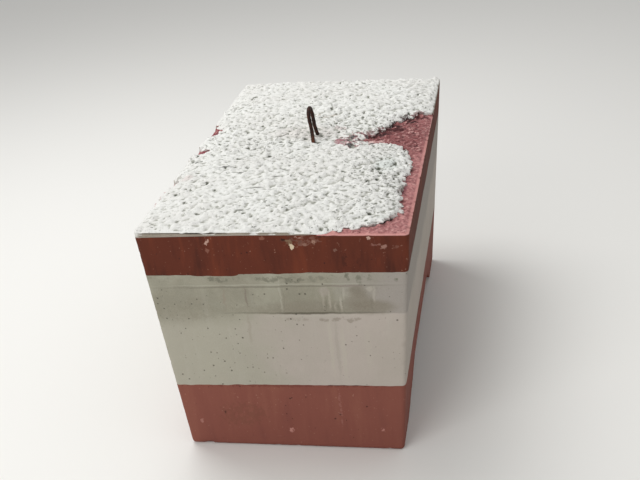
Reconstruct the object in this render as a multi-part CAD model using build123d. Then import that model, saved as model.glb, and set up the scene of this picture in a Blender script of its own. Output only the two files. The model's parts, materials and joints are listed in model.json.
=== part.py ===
"""Tapered concrete block, cast upside up in an open steel mould and lifted by a bent bar.

The mould was filled in four lifts of left-over concrete: red, grey, red again, and a rough white
topping heaped over most of the rim. The mould stood slightly out of level, so every lift has the same
small tilt against the rim. A hump on the mould floor leaves a tunnel for fork tines under the block.

Millimetres and degrees. Origin at the middle of the base, +X right across the front face,
+Y from the front to the back, +Z up.
"""

import os
from math import cos, floor, pi, radians, sin, tan

from build123d import *

# Mould, measured inside at its rim
RIM_WIDTH = 600.0
RIM_LENGTH = 1080.0
BLOCK_HEIGHT = 580.0
DRAFT_ANGLE = 4.0
EDGE_RADIUS = 9.0

# Hump on the mould floor
TUNNEL_FLOOR_LENGTH = 750.0
TUNNEL_ROOF_LENGTH = 400.0
TUNNEL_HEIGHT = 100.0
TUNNEL_ROOF_RADIUS = 14.0
TUNNEL_MOUTH_RADIUS = 6.0

# Lifts of concrete, heights on the block's centre line
BASE_LIFT_TOP = 185.0
CAP_LIFT_THICKNESS = 96.0
POUR_TILT = 1.25
# Distance left of the centre line at which the red cap comes up to the rim
CAP_MEETS_RIM = 70.0

# White topping: two heaps and the valley between them, heights above the rim
HEAP_RISE = 23.0
VALLEY_RISE = 10.0
VALLEY_POSITION = 25.0
VALLEY_HALF_WIDTH = 250.0
# Smooth edge of the topping against the steel, and the length over which it thins out at the bare corner
RIM_RISE = 9.0
RIM_TAPER = 80.0
# How long a heap stays flat before it drops to the rim, as the exponent of its profile
CROWN_ACROSS = 6.0
CROWN_ALONG = 8.0
# Lumps of the stiff mix, from one crest to the next, and from a hollow up to a crest
LUMP_PITCH = 63.0
LUMP_RISE = 8.0
# Rise of the least lump, as a share of the largest, and how far a lump strays, as a share of the pitch
LEAST_LUMP = 0.4
LUMP_STRAY = 0.25

# Bare red concrete along the right rim: a strip, a wider stretch with a tongue, and the front corner
BARE_STRIP = 43.0
BARE_FRONT = 34.0
BARE_FRONT_LENGTH = 190.0
TONGUE_REACH = 144.0
TONGUE_FRONT = -150.0
TONGUE_BACK = 228.0
# Shape of each shore, from its start to its end: share of the way across, share of the way along
FRONT_SHORE = ((0.95, 0.2), (0.8, 0.75), (0.55, 0.95))
TONGUE_SHORE = ((0.06, 0.2), (0.32, 0.33), (0.75, 0.36), (1.0, 0.42), (0.83, 0.51), (0.6, 0.66), (0.28, 0.86))
# Small bare patches on the left rim: position along the block, half length, depth
LEFT_PATCHES = ((112.0, 48.0, 42.0), (-46.0, 36.0, 44.0), (-278.0, 38.0, 26.0))

# Lifting loop, one bent bar: two spread legs, drawn in to a narrow crown
BAR_DIAMETER = 10.0
LOOP_LEG_SPACING = 100.0
LOOP_CROWN_SPACING = 44.0
LOOP_RISE = 100.0
# Height above the rim at which the legs are drawn in, and depth below it at which they are fully spread
LOOP_WAIST_RISE = 38.0
LOOP_SPREAD_DEPTH = 30.0
LOOP_EMBEDMENT = 360.0
LOOP_FOOT_LENGTH = 90.0
LOOP_BEND_RADIUS = 30.0
LOOP_LEAN = 7.0
LOOP_ACROSS = 9.0
LOOP_ALONG = 24.0

HALF_WIDTH = RIM_WIDTH / 2
HALF_LENGTH = RIM_LENGTH / 2
# Length past the block on each side that a cutting shape gets
OVERCUT = 50.0


def mould_cavity():
    """Inside of the mould up to its rim: drafted sides, rounded corners and the tunnel's hump."""
    draft = BLOCK_HEIGHT * tan(radians(DRAFT_ANGLE))
    wedge = Wedge(
        RIM_WIDTH,
        BLOCK_HEIGHT,
        RIM_LENGTH,
        xmin=draft,
        xmax=RIM_WIDTH - draft,
        zmin=draft,
        zmax=RIM_LENGTH - draft,
        align=(Align.CENTER, Align.MIN, Align.CENTER),
    )
    cavity = Pos(0, 0, BLOCK_HEIGHT) * Rot(-90, 0, 0) * wedge
    below_rim = [edge for edge in cavity.edges() if edge.center().Z < BLOCK_HEIGHT - EDGE_RADIUS]
    cavity = fillet(below_rim, EDGE_RADIUS)
    cavity -= tunnel_hump()
    mouth = [
        edge
        for edge in cavity.edges().filter_by(Axis.X)
        if abs(edge.center().Z) < 0.01 and abs(abs(edge.center().Y) - TUNNEL_FLOOR_LENGTH / 2) < 0.01
    ]
    return fillet(mouth, TUNNEL_MOUTH_RADIUS)


def tunnel_hump():
    """Trapezoidal bar across the mould floor, with its top edges rounded."""
    slope = (TUNNEL_FLOOR_LENGTH - TUNNEL_ROOF_LENGTH) / 2
    # The flanks run on below the floor, so the cut leaves no skin at the base
    below = TUNNEL_HEIGHT * OVERCUT / slope
    profile = Plane.YZ * Polygon(
        (-TUNNEL_ROOF_LENGTH / 2, TUNNEL_HEIGHT),
        (TUNNEL_ROOF_LENGTH / 2, TUNNEL_HEIGHT),
        (TUNNEL_FLOOR_LENGTH / 2 + OVERCUT, -below),
        (-TUNNEL_FLOOR_LENGTH / 2 - OVERCUT, -below),
        align=None,
    )
    hump = extrude(profile, amount=HALF_WIDTH + OVERCUT, both=True)
    roof = hump.faces().sort_by(Axis.Z)[-1]
    return fillet(roof.edges().filter_by(Axis.X), TUNNEL_ROOF_RADIUS)


def pour_plane(height):
    """Level top of one lift, tilted against the mould that stood out of level."""
    tilt = radians(POUR_TILT)
    return Plane(origin=(0, 0, height), x_dir=(cos(tilt), 0, sin(tilt)), z_dir=(-sin(tilt), 0, cos(tilt)))


def scatter(column, row):
    """A fixed number from 0 to 1 for each lump, with no pattern the eye can see."""
    wave = 43758.5 * sin(12.9898 * column + 78.233 * row)
    return wave - floor(wave)


def edge_height(across, along):
    """Height of the topping's smooth edge, which thins out along the front towards the bare corner."""
    to_corner = (HALF_WIDTH - BARE_FRONT_LENGTH - across) / RIM_TAPER
    thinning = max(0.1, min(1.0, to_corner)) if along < 0 else 1.0
    return RIM_RISE * thinning


def heap_height(across, along, lump):
    """Top of the white topping above the rim: two crowned heaps, a valley, and a lump from -1 to 1."""
    crown = (1 - abs(across / HALF_WIDTH) ** CROWN_ACROSS) * (1 - abs(along / HALF_LENGTH) ** CROWN_ALONG)
    out_of_valley = min(1.0, abs(along - VALLEY_POSITION) / VALLEY_HALF_WIDTH)
    heap = VALLEY_RISE + (HEAP_RISE - VALLEY_RISE) * (1 - cos(pi * out_of_valley)) / 2
    edge = edge_height(across, along)
    return edge + (heap + lump * LUMP_RISE / 2 - edge) * crown


def heap_point(column, columns, row, rows):
    """A crest or a hollow of the heap, shaken out of its row, or a point of the rim."""
    inside = 0 < column < columns and 0 < row < rows
    crest_or_hollow = 1 if (column + row) % 2 else -1
    lump = crest_or_hollow * (LEAST_LUMP + (1 - LEAST_LUMP) * scatter(column, row))
    shake = LUMP_STRAY * LUMP_PITCH if inside else 0
    across = RIM_WIDTH * (column / columns - 0.5) + shake * (scatter(row, column) - 0.5)
    along = RIM_LENGTH * (row / rows - 0.5) + shake * (scatter(row + columns, column) - 0.5)
    return Vector(across, along, BLOCK_HEIGHT + heap_height(across, along, lump))


def under_heap():
    """Everything below the topping's upper surface: flat facets between crests and hollows."""
    columns = round(2 * RIM_WIDTH / LUMP_PITCH)
    rows = round(2 * RIM_LENGTH / LUMP_PITCH)
    grid = [[heap_point(column, columns, row, rows) for column in range(columns + 1)] for row in range(rows + 1)]
    corners = []
    for near, far in zip(grid, grid[1:]):
        for left in range(columns):
            right = left + 1
            corners += [(near[left], near[right], far[right]), (near[left], far[right], far[left])]
    # Walls from the rim down to a floor deep in the cap close the block
    rim = grid[0] + [line[-1] for line in grid[1:]] + grid[-1][-2::-1] + [line[0] for line in grid[-2:0:-1]]
    floor_points = [Vector(point.X, point.Y, BLOCK_HEIGHT / 2) for point in rim]
    for index, point in enumerate(rim):
        before = index - 1
        corners.append((rim[before], floor_points[before], floor_points[index], point))
    corners.append(tuple(floor_points))
    return Solid(Shell([Face(Wire.make_polygon(points, close=True)) for points in corners]))


def topping_outline():
    """Plan of the topping: all that the rim encloses but for the bare strip, tongue and patches."""
    right = HALF_WIDTH - BARE_STRIP
    front = -HALF_LENGTH
    beyond_x = HALF_WIDTH + OVERCUT
    beyond_y = HALF_LENGTH + OVERCUT
    shore = [(HALF_WIDTH - BARE_FRONT_LENGTH, -beyond_y)]
    shore += [(HALF_WIDTH - across * BARE_FRONT_LENGTH, front + along * BARE_FRONT) for across, along in FRONT_SHORE]
    shore += [(right, front + BARE_FRONT + BARE_STRIP)]
    shore += [(right, (front + TONGUE_FRONT) / 2)]
    shore += [
        (right - across * TONGUE_REACH, TONGUE_FRONT + along * (TONGUE_BACK - TONGUE_FRONT))
        for across, along in TONGUE_SHORE
    ]
    shore += [(HALF_WIDTH, TONGUE_BACK), (beyond_x, TONGUE_BACK + OVERCUT / 4)]
    rest = Polyline(
        shore[-1],
        (beyond_x, beyond_y),
        (-beyond_x, beyond_y),
        (-beyond_x, -beyond_y),
        shore[0],
    )
    outline = make_face([Spline(*shore), *rest.edges()])
    for along, half_length, depth in LEFT_PATCHES:
        outline -= Pos(-HALF_WIDTH, along) * Ellipse(depth, half_length)
    return outline


def loop_path():
    """Centre line of the bar in its own plane: foot, leg, crown, leg and foot."""
    leg = LOOP_LEG_SPACING / 2
    half = LOOP_CROWN_SPACING / 2
    crown = LOOP_RISE - BAR_DIAMETER / 2 - half
    far_leg = [
        (half, crown),
        (half, LOOP_WAIST_RISE),
        (leg, -LOOP_SPREAD_DEPTH),
        (leg, -LOOP_EMBEDMENT),
        (leg + LOOP_FOOT_LENGTH, -LOOP_EMBEDMENT),
    ]
    near_leg = [(-along, height) for along, height in reversed(far_leg)]
    arch = ThreePointArc((-half, crown), (0, crown + half), (half, crown))
    legs = [FilletPolyline(*points, radius=LOOP_BEND_RADIUS) for points in (near_leg, far_leg)]
    return Wire([*legs[0].edges(), *arch.edges(), *legs[1].edges()])


def lifting_loop():
    """Bar bent to a narrow loop along the block, leaning a little, its feet deep in the concrete."""
    plane = Plane(origin=(LOOP_ACROSS, LOOP_ALONG, BLOCK_HEIGHT), x_dir=(0, 1, 0), z_dir=(1, 0, 0))
    path = plane * loop_path()
    bar = sweep(Plane(origin=path @ 0, z_dir=path % 0) * Circle(BAR_DIAMETER / 2), path=path)
    hinge = Axis((LOOP_ACROSS, LOOP_ALONG, BLOCK_HEIGHT), (0, 1, 0))
    return bar.rotate(hinge, -LOOP_LEAN)


def build():
    cap_top = BLOCK_HEIGHT + CAP_MEETS_RIM * tan(radians(POUR_TILT))
    base_pour = pour_plane(BASE_LIFT_TOP)
    grey_pour = pour_plane(cap_top - CAP_LIFT_THICKNESS)
    cap_pour = pour_plane(cap_top)

    cavity = mould_cavity()
    loop = lifting_loop()
    above_base = split(cavity, bisect_by=base_pour, keep=Keep.TOP)
    above_grey = split(above_base, bisect_by=grey_pour, keep=Keep.TOP)
    base_lift = split(cavity, bisect_by=base_pour, keep=Keep.BOTTOM)
    grey_lift = split(above_base, bisect_by=grey_pour, keep=Keep.BOTTOM)
    cap_lift = split(above_grey, bisect_by=cap_pour, keep=Keep.BOTTOM)

    rim = cavity.faces().sort_by(Axis.Z)[-1]
    fill = split(cavity, bisect_by=cap_pour, keep=Keep.TOP) + extrude(rim, amount=HEAP_RISE + LUMP_RISE)
    topping = fill & extrude(Plane.XY.offset(BLOCK_HEIGHT / 2) * topping_outline(), amount=BLOCK_HEIGHT)
    topping &= under_heap()
    return {
        "red_base_lift": base_lift - loop,
        "grey_middle_lift": grey_lift - loop,
        "red_top_lift": cap_lift - loop,
        "rough_topping": topping - loop,
        "lifting_loop": loop,
    }


def main():
    os.makedirs("parts", exist_ok=True)
    for name, shape in build().items():
        solids = shape.solids()
        export_step(solids[0] if len(solids) == 1 else Compound(solids), f"parts/{name}.step")
        box = shape.bounding_box()
        print(f"{name}: {len(solids)} solid, {shape.volume / 1e6:.2f} litres, {box.min} to {box.max}")


main()
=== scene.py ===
# %% [markdown]
# # A concrete block cast in coloured lifts
#
# Yards cast left-over concrete into big stackable blocks. The steel mould stands open side up and wide side
# up, so the block tapers downwards. Each delivery fills the mould a little further: here red, grey and red
# again, and last a stiff white mix that nobody trowels. A bent bar stands in the middle for the crane.
#
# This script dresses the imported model: the sizes come from its nodes, and every piece sits where its node
# sits.

# %% Load the fixed frame
import json
import math
import random
from contextlib import contextmanager

import bmesh
import bpy
import numpy as np
from mathutils import Matrix, Quaternion, Vector, noise
from mathutils.bvhtree import BVHTree

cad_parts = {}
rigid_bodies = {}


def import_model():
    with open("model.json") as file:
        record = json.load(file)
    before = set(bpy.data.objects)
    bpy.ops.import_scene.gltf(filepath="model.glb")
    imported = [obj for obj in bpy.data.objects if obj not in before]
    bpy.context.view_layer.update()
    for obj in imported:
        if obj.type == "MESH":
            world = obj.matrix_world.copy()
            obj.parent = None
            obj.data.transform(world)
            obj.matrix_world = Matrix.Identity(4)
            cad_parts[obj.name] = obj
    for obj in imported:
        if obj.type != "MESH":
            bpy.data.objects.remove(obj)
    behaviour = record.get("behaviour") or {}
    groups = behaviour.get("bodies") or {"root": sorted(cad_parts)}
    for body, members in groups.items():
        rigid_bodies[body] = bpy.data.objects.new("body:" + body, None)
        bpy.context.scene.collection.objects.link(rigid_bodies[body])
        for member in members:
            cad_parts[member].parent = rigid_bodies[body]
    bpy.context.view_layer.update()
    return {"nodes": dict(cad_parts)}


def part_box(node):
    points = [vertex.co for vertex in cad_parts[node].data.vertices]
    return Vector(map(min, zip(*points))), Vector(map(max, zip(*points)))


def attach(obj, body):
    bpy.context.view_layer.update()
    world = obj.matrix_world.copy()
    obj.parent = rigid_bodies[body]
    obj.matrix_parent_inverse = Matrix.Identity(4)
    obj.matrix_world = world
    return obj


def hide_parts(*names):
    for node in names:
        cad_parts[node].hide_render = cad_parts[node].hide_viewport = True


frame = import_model()

# %% [markdown]
# ## Sizes
#
# Blender works in metres. What the nodes' boxes show is read from them, and only the sizes that a box can't
# show are written out, as on the drawing of the mould.

# %% Sizes of the mould and its lifts
MM = 0.001
rim_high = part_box("rough_topping")[1]
HALF_WIDTH = rim_high.x
HALF_LENGTH = rim_high.y
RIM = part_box("red_top_lift")[1].z
DRAFT = math.tan(math.radians(4))
TILT = math.tan(math.radians(1.25))
CAP_MEETS_RIM = -70 * MM
CAP_TOP = RIM - CAP_MEETS_RIM * TILT
CAP_BOTTOM = CAP_TOP - 96 * MM
BASE_TOP = 185 * MM
TUNNEL_FLOOR = 375 * MM
TUNNEL_ROOF = 200 * MM
TUNNEL_HEIGHT = 100 * MM
EDGE_RADIUS = 9 * MM
VOXEL = 3.6 * MM
print("rim", HALF_WIDTH, HALF_LENGTH, RIM, "cap from", round(CAP_BOTTOM, 4), "to", round(CAP_TOP, 4))


# %% [markdown]
# ## Helpers for modelling with operators
#
# An operator works on what is selected, so each step first says what that is. These few functions do it by
# place instead of by mouse.

# %% Select, apply and finish
def only(*pieces):
    """Selects these pieces and nothing else; the last one is active."""
    bpy.ops.object.select_all(action="DESELECT")
    for piece in pieces:
        piece.select_set(True)
    bpy.context.view_layer.objects.active = pieces[-1]
    return pieces[-1]

@contextmanager
def editing(piece):
    """Edit mode on one piece, with all of it selected."""
    only(piece)
    bpy.ops.object.mode_set(mode="EDIT")
    bpy.ops.mesh.select_all(action="SELECT")
    yield
    bpy.ops.object.mode_set(mode="OBJECT")


def settle(piece):
    """Puts a piece's place, turn and scale into its mesh."""
    only(piece)
    bpy.ops.object.transform_apply(location=True, rotation=True, scale=True)
    return piece


def apply_modifier(piece, kind, **settings):
    """Adds one modifier and applies it at once."""
    only(piece)
    modifier = piece.modifiers.new(kind.lower(), kind)
    for name, value in settings.items():
        setattr(modifier, name, value)
    bpy.ops.object.modifier_apply(modifier=modifier.name)
    return piece


def cut_out(piece, cutter, **more):
    """Cuts one piece out of another; the cutter is gone afterwards."""
    apply_modifier(piece, "BOOLEAN", operation="DIFFERENCE", solver="EXACT", object=cutter, **more)
    bpy.data.objects.remove(cutter)


def select_parts(piece, parts, test, by_normal=False):
    """In edit mode, selects the vertices, edges or faces whose middle, or whose normal, passes the test."""
    bpy.ops.mesh.select_mode(type=parts[:-1].upper())
    bpy.ops.mesh.select_all(action="DESELECT")
    shape = bmesh.from_edit_mesh(piece.data)
    chosen = [part for part in getattr(shape, parts) if test(part.normal if by_normal else middle(part))]
    for part in chosen:
        part.select_set(True)
    bmesh.update_edit_mesh(piece.data)
    return len(chosen)


def middle(part):
    """Middle of a vertex, edge or face."""
    if isinstance(part, bmesh.types.BMVert):
        return part.co
    if isinstance(part, bmesh.types.BMEdge):
        return (part.verts[0].co + part.verts[1].co) / 2
    return part.calc_center_median()


def join(pieces, name):
    """Joins several pieces into one mesh."""
    whole = only(*pieces)
    bpy.ops.object.join()
    whole.name = name
    return whole


def copy_of(piece, name):
    """A copy with a mesh of its own."""
    double = piece.copy()
    double.data = piece.data.copy()
    double.name = name
    bpy.context.collection.objects.link(double)
    return double


def half_width_at(height):
    """Half of the block's width at a height, inside the drafted mould."""
    return HALF_WIDTH - (RIM - height) * DRAFT


def half_length_at(height):
    """Half of the block's length at a height."""
    return HALF_LENGTH - (RIM - height) * DRAFT


print("half width at the base", round(half_width_at(0), 4))


# %% [markdown]
# ## The casting
#
# Below the rim all three cast lifts filled the same mould, so they are modelled as one casting and parted
# later. A box gets its draft by shrinking its base, a tunnel by lifting the middle of the base, and its
# rounded arrises by a bevel. The red cap's top is the pour's own level, which comes up to the rim left of
# the middle.

# %% Box with draft and tunnel
def bisect_all(point, normal, **more):
    """Cuts right round the piece that is in edit mode, and fills or clears what the settings say."""
    bpy.ops.mesh.select_all(action="SELECT")
    bpy.ops.mesh.bisect(plane_co=point, plane_no=normal, **more)


def shift_where(piece, test, move=(0, 0, 0), scale=(1, 1, 1)):
    """Moves the vertices that pass the test, then scales them about the origin."""
    select_parts(piece, "verts", test)
    bpy.ops.transform.translate(value=move)
    bpy.ops.transform.resize(value=scale, center_override=(0, 0, 0))


def drafted_box():
    """The inside of the mould as a sharp-edged box with the tunnel in its base."""
    size = (2 * HALF_WIDTH, 2 * HALF_LENGTH, RIM)
    bpy.ops.mesh.primitive_cube_add(size=1, location=(0, 0, RIM / 2), scale=size)
    box = settle(bpy.context.object)
    shrink = (half_width_at(0) / HALF_WIDTH, half_length_at(0) / HALF_LENGTH, 1)
    wider = (half_width_at(TUNNEL_HEIGHT) / half_width_at(0), 1, 1)
    left_drop = (HALF_WIDTH + CAP_MEETS_RIM) * TILT
    with editing(box):
        shift_where(box, lambda at: at.z < MM, scale=shrink)
        for station in (-TUNNEL_FLOOR, -TUNNEL_ROOF, TUNNEL_ROOF, TUNNEL_FLOOR):
            bisect_all((0, station, 0), (0, 1, 0))
        shift_where(
            box, lambda at: at.z < MM and abs(at.y) < TUNNEL_ROOF + MM, (0, 0, TUNNEL_HEIGHT), wider
        )
        bisect_all((CAP_MEETS_RIM, 0, 0), (1, 0, 0))
        shift_where(box, lambda at: at.z > RIM - MM and at.x < -HALF_WIDTH + MM, (0, 0, -left_drop))
    return box


casting = drafted_box()
casting.name = "casting"
print("casting starts with", len(casting.data.polygons), "faces")

# %% Round the arrises
CORNER_STEPS = 4


def round_edges(box, test):
    """Bevels the edges whose middle passes the test."""
    with editing(box):
        count = select_parts(box, "edges", test)
        bpy.ops.mesh.bevel(offset=EDGE_RADIUS, segments=CORNER_STEPS, affect="EDGES", clamp_overlap=False)
    return count


def on_corner(at):
    """True on the four upright corners."""
    return abs(at.x) > half_width_at(at.z) - MM and abs(at.y) > half_length_at(at.z) - MM


def on_base_rim(at):
    """True round the two feet's outer edges."""
    outside = abs(at.x) > half_width_at(0) - MM or abs(at.y) > half_length_at(0) - MM
    return at.z < MM and outside and abs(at.y) > TUNNEL_FLOOR + MM


rounded = round_edges(casting, lambda at: on_corner(at) or on_base_rim(at))
print("rounded", rounded, "edges")

# %% [markdown]
# ## Chips and air holes
#
# Concrete loses crumbs along its arrises and keeps air bubbles against the steel. Both are cut with rough
# stones: one ball is made, its vertices are shaken, and copies of it bite into the casting by a boolean
# difference.

# %% One rough stone
dice = random.Random(7)
FULL_TURN = 6.28


def rough_stone(name, steps=2, shake=0.3, seed=1):
    """A ball of radius 1 with shaken vertices."""
    bpy.ops.mesh.primitive_ico_sphere_add(subdivisions=steps, radius=1)
    stone = bpy.context.object
    stone.name = name
    with editing(stone):
        bpy.ops.transform.vertex_random(offset=shake, uniform=0, normal=0.7, seed=seed)
    return stone


biter = rough_stone("biter")
print("a stone has", len(biter.data.polygons), "faces")


# %% Where the crumbs are missing
# Chips in the cap's front: distance across, height, radius
CAP_CHIPS = (
    (-137, 570, 5), (-138, 558, 4), (47, 556, 7), (41, 569, 5), (66, 576, 4), (214, 572, 5), (229, 554, 6),
    (241, 563, 4), (271, 552, 4), (20, 577, 3), (-60, 577, 3),
)


def sign():
    """Left or right, near or far."""
    return dice.choice((-1, 1))


def within(share):
    """A share of a half-length, either way from the middle."""
    return dice.uniform(-share, share)


def edge_spots():
    """Places on the arrises, with the size of the crumb that is gone."""
    spots = []
    for across, height, size in CAP_CHIPS:
        place = (across * MM, -half_length_at(height * MM) - 0.45 * size * MM, height * MM)
        spots.append((Vector(place), size * MM))

    def add(place, least, most):
        spots.append((Vector(place), dice.uniform(least, most) * MM))

    for _ in range(46):
        add((sign() * HALF_WIDTH, within(0.98) * HALF_LENGTH, RIM), 2, 6)
    for _ in range(20):
        add((within(0.98) * HALF_WIDTH, HALF_LENGTH, RIM), 2, 6)
    inset = 0.29 * EDGE_RADIUS
    for _ in range(34):
        height = dice.uniform(0.02, 0.97) * RIM
        wide, long = half_width_at(height) - inset, half_length_at(height) - inset
        add((sign() * wide, sign() * long, height), 2, 4.5)
    wide, long, low = half_width_at(0), half_length_at(0), 2 * MM
    for _ in range(20):
        side, end = sign(), sign()
        add((side * (wide - low), end * dice.uniform(TUNNEL_FLOOR + 0.01, long - 0.02), low), 3, 7)
    for _ in range(16):
        end = sign()
        add((within(0.9) * wide, end * (long - low), low), 3, 7)
    for _ in range(50):
        side, end, share = sign(), sign(), dice.uniform(0, 1)
        height = share * TUNNEL_HEIGHT
        along = TUNNEL_FLOOR + share * (TUNNEL_ROOF - TUNNEL_FLOOR)
        add((side * half_width_at(height), end * along, height), 3, 8)
    return spots


def wall_spots():
    """Air holes against the steel, all over the walls."""
    spots = []
    for _ in range(190):
        height, size = dice.uniform(0.05, 0.97) * RIM, dice.uniform(1.7, 3.3) * MM
        wide, long = half_width_at(height), half_length_at(height)
        if dice.random() < 0.36:
            end = sign()
            place = (within(0.92) * wide, end * long, height)
        else:
            place = (sign() * wide, within(0.95) * long, height)
        spots.append((Vector(place), size))
    return spots


def bite(casting, spots, flatness):
    """Cuts a stone-shaped crumb out of the casting at each spot."""
    stones = []
    for place, size in spots:
        stone = copy_of(biter, "bite")
        stone.location = place
        stone.scale = (size, size * dice.uniform(0.9, 2.2), size * flatness)
        stone.rotation_euler = [dice.uniform(0, FULL_TURN) for _ in range(3)]
        stones.append(stone)
    for stone in stones:
        settle(stone)
    cut_out(casting, join(stones, "crumbs"), use_self=True)


bite(casting, edge_spots(), 1.0)
bite(casting, wall_spots(), 0.8)
print("after the bites", len(casting.data.polygons), "faces")

# %% [markdown]
# ## Stones thrown over a surface
#
# The bare red concrete and the white heap are both stiff mixes that nobody smoothed: paste-covered stones
# lying as they fell. Geometry Nodes spread copies of a few stones over a carrier surface, and the instances
# are realised, so that a remesh can fuse them with what lies under them.

# %% A collection of stones to throw
stone_box = bpy.data.collections.new("thrown_stones")
bpy.context.scene.collection.children.link(stone_box)
for index in range(6):
    stone = rough_stone(f"thrown_stone_{index}", steps=1 + index % 2, shake=0.36, seed=20 + index)
    bpy.context.collection.objects.unlink(stone)
    stone_box.objects.link(stone)


# %% Nodes by name
def plug(value, socket):
    """Links a node's output to a socket, or sets the socket's own value."""
    value = getattr(value, "socket", value)
    if isinstance(value, bpy.types.NodeSocket):
        socket.id_data.links.new(value, socket)
    else:
        socket.default_value = value


def add_node(tree, kind, **given):
    """Adds a node. A name with a capital is one of its inputs, with _ for a space; any other is a setting."""
    node = tree.nodes.new(kind)
    for name in sorted(given, key=lambda name: name[0].isupper()):
        if name[0].isupper():
            plug(given[name], node.inputs[name.replace("_", " ")])
        else:
            setattr(node, name, given[name])
    return node


print("nodes are made by", add_node.__name__)


# %% The node tree that throws them
def thrown_tree(name, spacing, size, spread, flatness, seed):
    """A geometry node tree: points on the surface, a turned and sized stone on each, all made real."""
    tree = bpy.data.node_groups.new(name, "GeometryNodeTree")
    for socket, in_out in (("Carrier", "INPUT"), ("Stones", "OUTPUT")):
        tree.interface.new_socket(name=socket, in_out=in_out, socket_type="NodeSocketGeometry")
    points = add_node(
        tree,
        "GeometryNodeDistributePointsOnFaces",
        distribute_method="POISSON",
        Mesh=tree.nodes.new("NodeGroupInput").outputs["Carrier"],
        Distance_Min=spacing,
        Density_Max=3 / spacing**2,
        Seed=seed,
    )
    stones = add_node(
        tree, "GeometryNodeCollectionInfo", Collection=stone_box, Separate_Children=True, Reset_Children=True
    )
    shares = (1 - spread, 1 + spread)
    least, most = ((size * share, size * share, size * share * flatness) for share in shares)
    anything = {"tree": tree, "kind": "FunctionNodeRandomValue", "data_type": "FLOAT_VECTOR"}
    turn = add_node(**anything, Max=(FULL_TURN, FULL_TURN, FULL_TURN), Seed=seed + 1)
    scale = add_node(**anything, Min=least, Max=most, Seed=seed + 2)
    place = add_node(
        tree,
        "GeometryNodeInstanceOnPoints",
        Points=points.outputs["Points"],
        Instance=stones.outputs["Instances"],
        Pick_Instance=True,
        Rotation=turn.outputs["Value"],
        Scale=scale.outputs["Value"],
    )
    real = add_node(tree, "GeometryNodeRealizeInstances", Geometry=place.outputs["Instances"])
    add_node(tree, "NodeGroupOutput", Stones=real.outputs["Geometry"])
    return tree


def throw_stones(carrier, name, spacing, size, spread, flatness, seed):
    """Stones lying all over a copy of the carrier surface."""
    heap = copy_of(carrier, name)
    apply_modifier(heap, "NODES", node_group=thrown_tree(name, spacing, size, spread, flatness, seed))
    return heap


print("stones are thrown by", thrown_tree.__name__)


# %% [markdown]
# ## Carriers: the white heap's surface and the bare red's
#
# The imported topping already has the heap's outline and height, so its upper faces carry the white stones.
# The bare red is what is left of the rim's rectangle: a grid loses every face that has the topping above
# it.

# %% White carrier
def merged_copy(node, name):
    """A copy of a CAD node with its loose triangles merged."""
    double = copy_of(frame["nodes"][node], name)
    double.parent = None
    with editing(double):
        bpy.ops.mesh.remove_doubles(threshold=0.01 * MM)
    return double


def delete_faces(piece, test, by_normal=False):
    """Deletes the faces whose middle, or whose normal, passes the test."""
    with editing(piece):
        select_parts(piece, "faces", test, by_normal)
        bpy.ops.mesh.delete(type="FACE")
    return piece


def trim_rim(piece, front, other):
    """Cuts a strip off the carrier along the rim, where the edge stays smooth."""
    with editing(piece):
        for point, normal in (
            ((0, front - HALF_LENGTH, 0), (0, -1, 0)),
            ((0, HALF_LENGTH - other, 0), (0, 1, 0)),
            ((other - HALF_WIDTH, 0, 0), (-1, 0, 0)),
            ((HALF_WIDTH - other, 0, 0), (1, 0, 0)),
        ):
            bisect_all(point, normal, clear_outer=True)


heap_body = merged_copy("rough_topping", "heap_body")
white_carrier = copy_of(heap_body, "white_carrier")
delete_faces(white_carrier, lambda normal: normal.z < -0.3, by_normal=True)
trim_rim(white_carrier, 13 * MM, 8 * MM)
print("white carrier has", len(white_carrier.data.polygons), "faces")

# %% Bare red carrier
GRID_STEP = 8 * MM
topping_tree = BVHTree.FromObject(heap_body, bpy.context.evaluated_depsgraph_get())
EDGE_MARGIN = 11 * MM


def white_above(at):
    """True where the topping lies over a point, and beyond the rim."""
    inside = abs(at.x) < HALF_WIDTH and abs(at.y) < HALF_LENGTH
    hit = topping_tree.ray_cast(Vector((at.x, at.y, RIM + 0.1)), Vector((0, 0, -1)))
    return hit[0] is not None or not inside


bpy.ops.mesh.primitive_grid_add(
    x_subdivisions=round(2 * HALF_WIDTH / GRID_STEP),
    y_subdivisions=round(2 * HALF_LENGTH / GRID_STEP),
    size=1,
    location=(0, 0, RIM - 1.5 * MM),
)
bare_carrier = bpy.context.object
bare_carrier.scale = (2 * (HALF_WIDTH - EDGE_MARGIN), 2 * (HALF_LENGTH - EDGE_MARGIN), 1)
settle(bare_carrier)
bare_carrier.name = "bare_carrier"
delete_faces(bare_carrier, white_above)
print("bare carrier has", len(bare_carrier.data.polygons), "faces")

# %% [markdown]
# ## The bare red concrete, and one skin over the whole casting
#
# Small stones lie half sunk in the bare strip. Joined with the casting and remeshed into voxels, they
# become one closed skin: arrises lose their machine-sharp look, crumbs and air holes get soft lips, and
# stones get paste. The topping's body is joined in too, so that the rim under it stays sharp, and cut away
# again later.

# %% Sink the red stones and remesh
red_stones = throw_stones(bare_carrier, "red_stones", 7 * MM, 5 * MM, 0.4, 0.7, 3)
red_lumps = throw_stones(bare_carrier, "red_lumps", 16 * MM, 8 * MM, 0.4, 0.7, 5)
casting = join([red_stones, red_lumps, copy_of(heap_body, "core"), casting], "casting")
apply_modifier(casting, "REMESH", mode="VOXEL", voxel_size=VOXEL)
print("casting skin has", len(casting.data.polygons), "faces")


# %% [markdown]
# ## Parting the lifts
#
# Each lift is a copy of the casting cut along its pour lines. A pour line isn't ruler-straight, so what
# lies near it is shifted up or down by slow waves, the same for both lifts, and they still meet face to
# face. The red cap sags a little in one place of its front. What is left of the topping's body is cut off
# it.

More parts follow.
